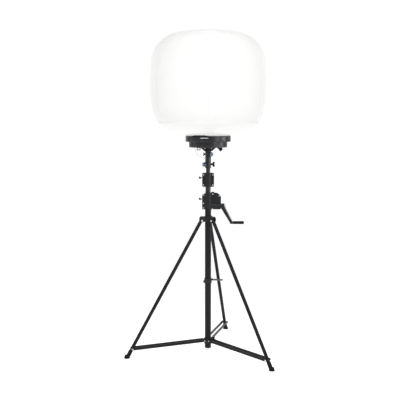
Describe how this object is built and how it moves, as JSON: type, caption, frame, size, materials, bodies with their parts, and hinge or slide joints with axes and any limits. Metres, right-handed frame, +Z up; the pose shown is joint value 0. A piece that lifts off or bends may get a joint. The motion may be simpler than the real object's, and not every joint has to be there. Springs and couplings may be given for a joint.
{
  "type": "inflatable balloon light on wind-up stand",
  "caption": "Inflatable white balloon lamp with a round fan base on a crank-up telescopic tripod stand with folding braced legs.",
  "frame": {"origin": "on the column's axis at floor level, in the plane of the three foot soles", "axes": "+Z up along the column; +X towards the crank; -Y towards the front, so the rear leg points to +Y"},
  "size_m": [1.1722, 1.168, 2.567],
  "materials": {
    "envelope_fabric": "translucent white coated nylon",
    "powder_black": "satin black powder coat",
    "cast_black": "textured black paint on castings",
    "base_black": "satin black paint",
    "black_plastic": "moulded black plastic",
    "knob_plastic": "moulded black plastic knobs",
    "rubber_black": "black rubber",
    "steel": "zinc-plated steel",
    "riser_black": "black anodised finish",
    "aluminium": "extruded aluminium",
    "bronze": "bronze",
    "nylon": "ivory nylon",
    "led_board": "white LED boards",
    "electronics_grey": "grey painted sheet metal"
  },
  "bodies": {
    "stand": {"column_tube": "powder_black", "column_plug": "rubber_black", "riser_guide_bush": "nylon", "winch_housing_front": "cast_black", "winch_housing_back": "cast_black", "winch_bolts": "steel", "winch_bushings": "bronze", "leg_collar": "cast_black", "leg_pivot_bolts": "steel"},
    "lower_riser": {"lower_riser_tube": "riser_black", "gear_rack": "steel", "upper_guide_bush": "nylon", "riser_collar_front": "cast_black", "riser_collar_back": "cast_black", "riser_collar_bolts": "steel"},
    "upper_riser": {"upper_riser_tube": "riser_black"},
    "head": {"balloon_envelope": "envelope_fabric", "clamp_ring": "black_plastic", "base_flange": "base_black", "base_housing": "base_black", "top_plate": "electronics_grey", "intake_grille": "black_plastic", "blower_housing": "black_plastic", "blower_motor": "electronics_grey", "led_mast": "aluminium", "led_modules": "led_board", "lamp_cap": "aluminium", "driver_boxes": "electronics_grey", "power_inlet": "black_plastic", "wire_eye": "base_black", "safety_wire": "steel", "hub_flange": "cast_black", "head_socket": "base_black"},
    "fan": {"fan_impeller": "black_plastic"},
    "crank": {"worm": "steel", "worm_shaft": "steel", "crank_arm": "cast_black"},
    "crank_grip": {"crank_grip": "black_plastic"},
    "drive_gear": {"drive_gear": "bronze", "gear_shaft": "steel"},
    "head_knob_right": {"head_knob_right": "knob_plastic"},
    "head_knob_left": {"head_knob_left": "knob_plastic"},
    "socket_knob_left": {"socket_knob_left": "knob_plastic"},
    "socket_knob_right": {"socket_knob_right": "knob_plastic"},
    "collar_knob": {"collar_knob": "knob_plastic"},
    "winch_lock_knob": {"winch_lock_knob": "knob_plastic"},
    "leg_left": {"leg_left": "powder_black", "foot_left": "rubber_black"},
    "leg_right": {"leg_right": "powder_black", "foot_right": "rubber_black"},
    "leg_rear": {"leg_rear": "powder_black", "foot_rear": "rubber_black"},
    "lower_collar": {"lower_collar": "cast_black"},
    "lower_collar_knob": {"lower_collar_knob": "knob_plastic"},
    "brace_left": {"brace_left": "powder_black"},
    "brace_right": {"brace_right": "powder_black"},
    "brace_rear": {"brace_rear": "powder_black"},
    "stay_collar": {"stay_collar": "cast_black"},
    "stay_link": {"stay_link": "powder_black"}
  },
  "joints": [
    {"name": "crank_turn", "type": "hinge", "parent": "stand", "child": "crank", "pos_m": [0.12, 0, 1.202], "axis": [1, 0, 0], "range_deg": [0, 36287.33]},
    {"name": "lower_riser_slide", "type": "slide", "parent": "stand", "child": "lower_riser", "axis": [0, 0, 1], "range_m": [0, 0.95]},
    {"name": "drive_gear_turn", "type": "hinge", "parent": "stand", "child": "drive_gear", "pos_m": [0.0571, 0, 1.252], "axis": [0, 1, 0], "range_deg": [0, 1512.47]},
    {"name": "crank_grip_spin", "type": "hinge", "parent": "crank", "child": "crank_grip", "pos_m": [0.24, 0, 1.066], "axis": [1, 0, 0], "continuous": true},
    {"name": "upper_riser_slide", "type": "slide", "parent": "lower_riser", "child": "upper_riser", "axis": [0, 0, 1], "range_m": [0, 0.95]},
    {"name": "head_swivel", "type": "hinge", "parent": "upper_riser", "child": "head", "pos_m": [0, 0, 1.574], "axis": [0, 0, 1], "range_deg": [-170, 170]},
    {"name": "fan_spin", "type": "hinge", "parent": "head", "child": "fan", "pos_m": [0, 0.088, 1.703], "axis": [0, 0, 1], "continuous": true},
    {"name": "head_knob_right_turn", "type": "hinge", "parent": "head", "child": "head_knob_right", "pos_m": [0.0225, -0.02681, 1.618], "axis": [0.6428, -0.766, 0], "range_deg": [0, 540]},
    {"name": "head_knob_left_turn", "type": "hinge", "parent": "head", "child": "head_knob_left", "pos_m": [-0.03466, -0.00487, 1.618], "axis": [-0.9903, -0.1392, 0], "range_deg": [0, 540]},
    {"name": "socket_knob_left_turn", "type": "hinge", "parent": "head", "child": "socket_knob_left", "pos_m": [-0.02518, -0.02431, 1.537], "axis": [-0.7193, -0.6947, 0], "range_deg": [0, 540]},
    {"name": "socket_knob_right_turn", "type": "hinge", "parent": "head", "child": "socket_knob_right", "pos_m": [0.03481, -0.00366, 1.537], "axis": [0.9945, -0.1045, 0], "range_deg": [0, 540]},
    {"name": "collar_knob_turn", "type": "hinge", "parent": "lower_riser", "child": "collar_knob", "pos_m": [-0.035, 0, 1.428], "axis": [-1, 0, 0], "range_deg": [0, 540]},
    {"name": "winch_lock_knob_turn", "type": "hinge", "parent": "stand", "child": "winch_lock_knob", "pos_m": [-0.035, 0, 1.257], "axis": [-1, 0, 0], "range_deg": [0, 540]},
    {"name": "lower_collar_knob_turn", "type": "hinge", "parent": "lower_collar", "child": "lower_collar_knob", "pos_m": [0.04628, 0.01275, 0.1], "axis": [0, 0, 1], "range_deg": [0, 540]},
    {"name": "leg_left_fold", "type": "hinge", "parent": "stand", "child": "leg_left", "pos_m": [-0.05495, -0.01514, 1.085], "axis": [0.2656, -0.9641, 0], "range_deg": [0, 29.54]},
    {"name": "leg_right_fold", "type": "hinge", "parent": "stand", "child": "leg_right", "pos_m": [0.04059, -0.04002, 1.085], "axis": [0.7022, 0.712, 0], "range_deg": [0, 29.59]},
    {"name": "leg_rear_fold", "type": "hinge", "parent": "stand", "child": "leg_rear", "pos_m": [0.01437, 0.05516, 1.085], "axis": [-0.9677, 0.2521, 0], "range_deg": [0, 29.59]},
    {"name": "lower_collar_slide", "type": "slide", "parent": "stand", "child": "lower_collar", "axis": [0, 0, 1], "range_m": [0, 0.4211]},
    {"name": "brace_left_fold", "type": "hinge", "parent": "lower_collar", "child": "brace_left", "pos_m": [-0.03471, -0.00956, 0.096], "axis": [0.2656, -0.9641, 0], "range_deg": [0, 85.9]},
    {"name": "brace_right_fold", "type": "hinge", "parent": "lower_collar", "child": "brace_right", "pos_m": [0.02563, -0.02528, 0.096], "axis": [0.7022, 0.712, 0], "range_deg": [0, 85.9]},
    {"name": "brace_rear_fold", "type": "hinge", "parent": "lower_collar", "child": "brace_rear", "pos_m": [0.00907, 0.03484, 0.096], "axis": [-0.9677, 0.2521, 0], "range_deg": [0, 85.9]},
    {"name": "stay_collar_slide", "type": "slide", "parent": "stand", "child": "stay_collar", "axis": [0, 0, 1], "range_m": [0, 0.1914]},
    {"name": "stay_link_fold", "type": "hinge", "parent": "stay_collar", "child": "stay_link", "pos_m": [0.00907, 0.03484, 0.591], "axis": [-0.9677, 0.2521, 0], "range_deg": [0, 74.42]}
  ],
  "couplings": [
    {"joint": "lower_riser_slide", "follows": "crank_turn", "m_per_rad": 0.0015},
    {"joint": "drive_gear_turn", "follows": "crank_turn", "ratio": 0.041667},
    {"joint": "leg_right_fold", "follows": "leg_left_fold", "ratio": 1},
    {"joint": "leg_rear_fold", "follows": "leg_left_fold", "ratio": 1},
    {"joint": "lower_collar_slide", "follows": "leg_left_fold", "m_per_rad": 0.81638},
    {"joint": "brace_left_fold", "follows": "leg_left_fold", "ratio": 2.9061},
    {"joint": "brace_right_fold", "follows": "leg_left_fold", "ratio": 2.9061},
    {"joint": "brace_rear_fold", "follows": "leg_left_fold", "ratio": 2.9061},
    {"joint": "stay_collar_slide", "follows": "leg_left_fold", "m_per_rad": 0.37094},
    {"joint": "stay_link_fold", "follows": "leg_left_fold", "ratio": 2.5176}
  ]
}
